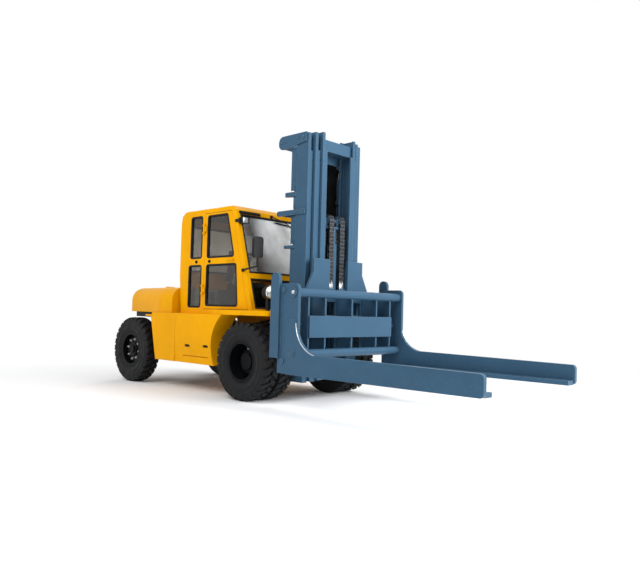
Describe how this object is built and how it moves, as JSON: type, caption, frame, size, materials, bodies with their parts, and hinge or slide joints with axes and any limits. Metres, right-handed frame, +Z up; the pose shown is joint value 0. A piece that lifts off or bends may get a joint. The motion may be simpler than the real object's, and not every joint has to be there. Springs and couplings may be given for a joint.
{
  "type": "diesel forklift with lifting arms",
  "caption": "Counterbalance forklift with an enclosed cab, a three-stage mast and a carriage that carries two long sliding lifting arms.",
  "frame": {"origin": "on the floor, under the middle of the truck's overall length and width", "axes": "+X forward towards the arm tips, +Y to the driver's left, +Z up"},
  "size_m": [6.96, 2.176, 3.57],
  "materials": {
    "body_paint": "glossy amber yellow paint",
    "mast_paint": "satin slate blue paint",
    "dark_paint": "dark grey chassis paint",
    "engine_iron": "painted cast iron",
    "window_glass": "clear safety glass",
    "seat_vinyl": "black grained vinyl",
    "black_plastic": "black moulded plastic",
    "lamp_housing": "black lamp housing with clear lens",
    "tyre_rubber": "black rubber",
    "rim_paint": "dark grey wheel paint",
    "rod_chrome": "hard chrome plated rod",
    "chain_steel": "oiled steel leaf chain"
  },
  "bodies": {
    "chassis": {"frame": "dark_paint", "drive_axle": "dark_paint", "steer_axle": "dark_paint", "engine_block": "engine_iron", "counterweight": "body_paint", "rear_grille": "dark_paint", "left_side_tank": "body_paint", "right_side_tank": "body_paint", "front_fenders": "body_paint", "engine_covers": "body_paint", "cab_floor": "body_paint", "cab_sides": "body_paint", "cab_rear_wall": "body_paint", "cab_roof": "body_paint", "cab_front": "body_paint", "cab_glazing": "window_glass", "seat": "seat_vinyl", "steering_column": "black_plastic", "mirrors": "black_plastic", "lamps": "lamp_housing"},
    "hood": {"hood_lid": "body_paint"},
    "right_door": {"right_door": "body_paint", "right_door_glass": "window_glass"},
    "left_door": {"left_door": "body_paint", "left_door_glass": "window_glass"},
    "right_drive_wheels": {"right_drive_tyres": "tyre_rubber", "right_drive_rims": "rim_paint"},
    "left_drive_wheels": {"left_drive_tyres": "tyre_rubber", "left_drive_rims": "rim_paint"},
    "right_knuckle": {"right_knuckle": "dark_paint"},
    "left_knuckle": {"left_knuckle": "dark_paint"},
    "right_steer_wheel": {"right_steer_tyre": "tyre_rubber", "right_steer_rim": "rim_paint"},
    "left_steer_wheel": {"left_steer_tyre": "tyre_rubber", "left_steer_rim": "rim_paint"},
    "outer_mast": {"outer_rails": "mast_paint", "outer_ties": "mast_paint", "lift_barrels": "mast_paint"},
    "middle_mast": {"middle_rails": "mast_paint", "middle_ties": "mast_paint", "lift_rods": "rod_chrome"},
    "inner_mast": {"inner_rails": "mast_paint", "inner_ties": "mast_paint", "free_lift_barrel": "mast_paint", "rear_chains": "chain_steel"},
    "crosshead": {"crosshead": "mast_paint", "chain_wraps": "chain_steel"},
    "carriage": {"carriage_plate": "mast_paint", "carriage_ribs": "mast_paint", "carriage_rollers": "mast_paint", "positioner_barrels": "mast_paint", "carriage_shafts": "mast_paint", "shield_plate": "mast_paint", "front_chains": "chain_steel"},
    "right_arm": {"right_arm": "mast_paint"},
    "left_arm": {"left_arm": "mast_paint"},
    "tilt_barrels": {"tilt_barrels": "dark_paint"},
    "tilt_rods": {"tilt_rods": "rod_chrome"}
  },
  "joints": [
    {"name": "mast_tilt", "type": "hinge", "parent": "chassis", "child": "outer_mast", "pos_m": [0.16, 0, 0.42], "axis": [0, 1, 0], "range_deg": [-10, 6]},
    {"name": "main_lift", "type": "slide", "parent": "outer_mast", "child": "middle_mast", "axis": [0, 0, 1], "range_m": [0, 2.2]},
    {"name": "inner_lift", "type": "slide", "parent": "middle_mast", "child": "inner_mast", "axis": [0, 0, 1], "range_m": [0, 2.2]},
    {"name": "free_lift", "type": "slide", "parent": "inner_mast", "child": "crosshead", "axis": [0, 0, 1], "range_m": [-0.18, 0.57], "deforming": ["rear_chains"]},
    {"name": "carriage_lift", "type": "slide", "parent": "crosshead", "child": "carriage", "axis": [0, 0, 1], "range_m": [-0.18, 0.57], "deforming": ["front_chains"]},
    {"name": "right_arm_shift", "type": "slide", "parent": "carriage", "child": "right_arm", "axis": [0, 1, 0], "range_m": [0, 0.09]},
    {"name": "left_arm_shift", "type": "slide", "parent": "carriage", "child": "left_arm", "axis": [0, -1, 0], "range_m": [0, 0.09]},
    {"name": "tilt_barrel_swing", "type": "hinge", "parent": "chassis", "child": "tilt_barrels", "pos_m": [-0.82, 0, 0.9], "axis": [0, 1, 0], "range_deg": [-1, 0.6]},
    {"name": "tilt_rod_slide", "type": "slide", "parent": "tilt_barrels", "child": "tilt_rods", "axis": [0.9873, 0, 0.1588], "range_m": [-0.1115, 0.067]},
    {"name": "right_steer", "type": "hinge", "parent": "chassis", "child": "right_knuckle", "pos_m": [-2.84, -0.69, 0.509], "axis": [0, 0, 1], "range_deg": [-65, 65]},
    {"name": "left_steer", "type": "hinge", "parent": "chassis", "child": "left_knuckle", "pos_m": [-2.84, 0.69, 0.509], "axis": [0, 0, 1], "range_deg": [-65, 65]},
    {"name": "right_steer_spin", "type": "hinge", "parent": "right_knuckle", "child": "right_steer_wheel", "pos_m": [-2.84, -0.902, 0.509], "axis": [0, 1, 0], "continuous": true},
    {"name": "left_steer_spin", "type": "hinge", "parent": "left_knuckle", "child": "left_steer_wheel", "pos_m": [-2.84, 0.902, 0.509], "axis": [0, 1, 0], "continuous": true},
    {"name": "right_drive_spin", "type": "hinge", "parent": "chassis", "child": "right_drive_wheels", "pos_m": [-0.04, -0.8045, 0.509], "axis": [0, 1, 0], "continuous": true},
    {"name": "left_drive_spin", "type": "hinge", "parent": "chassis", "child": "left_drive_wheels", "pos_m": [-0.04, 0.8045, 0.509], "axis": [0, 1, 0], "continuous": true},
    {"name": "right_door_swing", "type": "hinge", "parent": "chassis", "child": "right_door", "pos_m": [-1.19, -0.862, 1.86], "axis": [0, 0, -1], "range_deg": [0, 95]},
    {"name": "left_door_swing", "type": "hinge", "parent": "chassis", "child": "left_door", "pos_m": [-1.19, 0.862, 1.86], "axis": [0, 0, 1], "range_deg": [0, 95]},
    {"name": "hood_open", "type": "hinge", "parent": "chassis", "child": "hood", "pos_m": [-2.796, 0, 1.518], "axis": [0, -1, 0], "range_deg": [0, 60]}
  ],
  "couplings": [
    {"joint": "inner_lift", "follows": "main_lift", "ratio": 1},
    {"joint": "carriage_lift", "follows": "free_lift", "ratio": 1},
    {"joint": "left_arm_shift", "follows": "right_arm_shift", "ratio": 1},
    {"joint": "tilt_barrel_swing", "follows": "mast_tilt", "ratio": 0.098},
    {"joint": "tilt_rod_slide", "follows": "mast_tilt", "m_per_rad": 0.633},
    {"joint": "left_steer", "follows": "right_steer", "ratio": 1}
  ]
}
